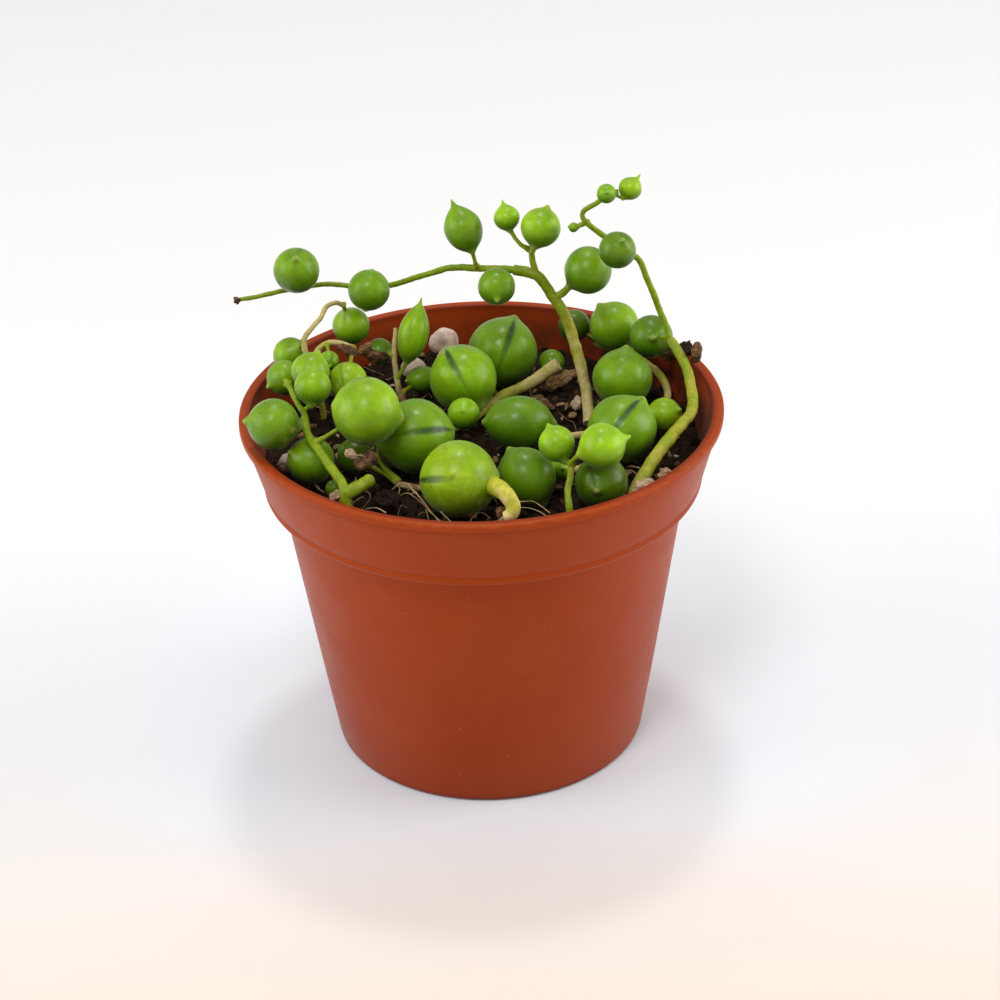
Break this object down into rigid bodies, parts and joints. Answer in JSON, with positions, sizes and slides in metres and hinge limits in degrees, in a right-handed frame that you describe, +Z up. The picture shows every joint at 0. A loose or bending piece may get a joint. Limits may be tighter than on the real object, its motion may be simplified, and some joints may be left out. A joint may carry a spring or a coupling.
{
  "type": "potted string of pearls",
  "caption": "Small trailing succulent with round bead-like leaves on thin arching stems, growing in soil in a flared red-brown plastic nursery pot.",
  "frame": {"origin": "centre of the pot's flat base, on the surface the pot stands on", "axes": "+Z up along the pot's axis; the front of the plant faces -Y; the long bare strand reaches over the rim to -X"},
  "size_m": [0.0605, 0.06, 0.0723],
  "materials": {
    "pot_plastic": "satin moulded polypropylene, red-brown, slightly dusty and scuffed at the rim",
    "soil": "damp dark peat with fibres",
    "leaf": "waxy green flesh with a dark window line",
    "young_leaf": "waxy bright green flesh",
    "stem": "matt, green to tan",
    "dead_plant": "dry brown leaf and stem scraps",
    "perlite": "matt pale grit"
  },
  "bodies": {
    "root": {"pot": "pot_plastic", "soil": "soil", "stem_arching": "stem", "leaf_arching_1": "leaf", "leaf_arching_2": "leaf", "leaf_arching_3": "leaf", "leaf_arching_4": "leaf", "leaf_arching_5": "young_leaf", "leaf_arching_6": "leaf", "leaf_arching_7": "leaf", "stem_right": "stem", "leaf_right_1": "leaf", "leaf_right_2": "young_leaf", "leaf_right_3": "young_leaf", "leaf_right_4": "leaf", "stem_left": "stem", "leaf_left_1": "leaf", "leaf_left_2": "leaf", "leaf_left_3": "leaf", "leaf_left_4": "leaf", "leaf_left_5": "leaf", "stem_small_arch": "stem", "leaf_small_arch_1": "leaf", "leaf_small_arch_2": "leaf", "leaf_small_arch_3": "leaf", "leaf_small_arch_4": "young_leaf", "leaf_small_arch_5": "leaf", "stem_spindle": "stem", "leaf_spindle_1": "leaf", "leaf_spindle_2": "leaf", "leaf_spindle_3": "leaf", "stem_middle": "stem", "leaf_middle_1": "young_leaf", "leaf_middle_2": "leaf", "leaf_middle_3": "leaf", "leaf_middle_4": "leaf", "stem_front_low": "stem", "leaf_front_low_1": "leaf", "leaf_front_low_2": "leaf", "leaf_front_low_3": "leaf", "leaf_front_low_4": "leaf", "leaf_front_low_5": "leaf", "stem_back": "stem", "leaf_back_1": "leaf", "leaf_back_2": "leaf", "leaf_back_3": "leaf", "leaf_back_4": "leaf", "leaf_back_5": "leaf", "leaf_back_6": "leaf", "stem_front_stub": "stem", "leaf_front_stub_1": "leaf", "stem_front_shoot": "stem", "leaf_front_shoot_1": "young_leaf", "leaf_front_shoot_2": "young_leaf", "stone_back": "perlite", "stone_middle": "perlite", "stone_left": "perlite", "dead_leaf_dark": "dead_plant", "dead_leaf_left": "dead_plant", "dead_leaf_right": "dead_plant"}
  },
  "joints": []
}
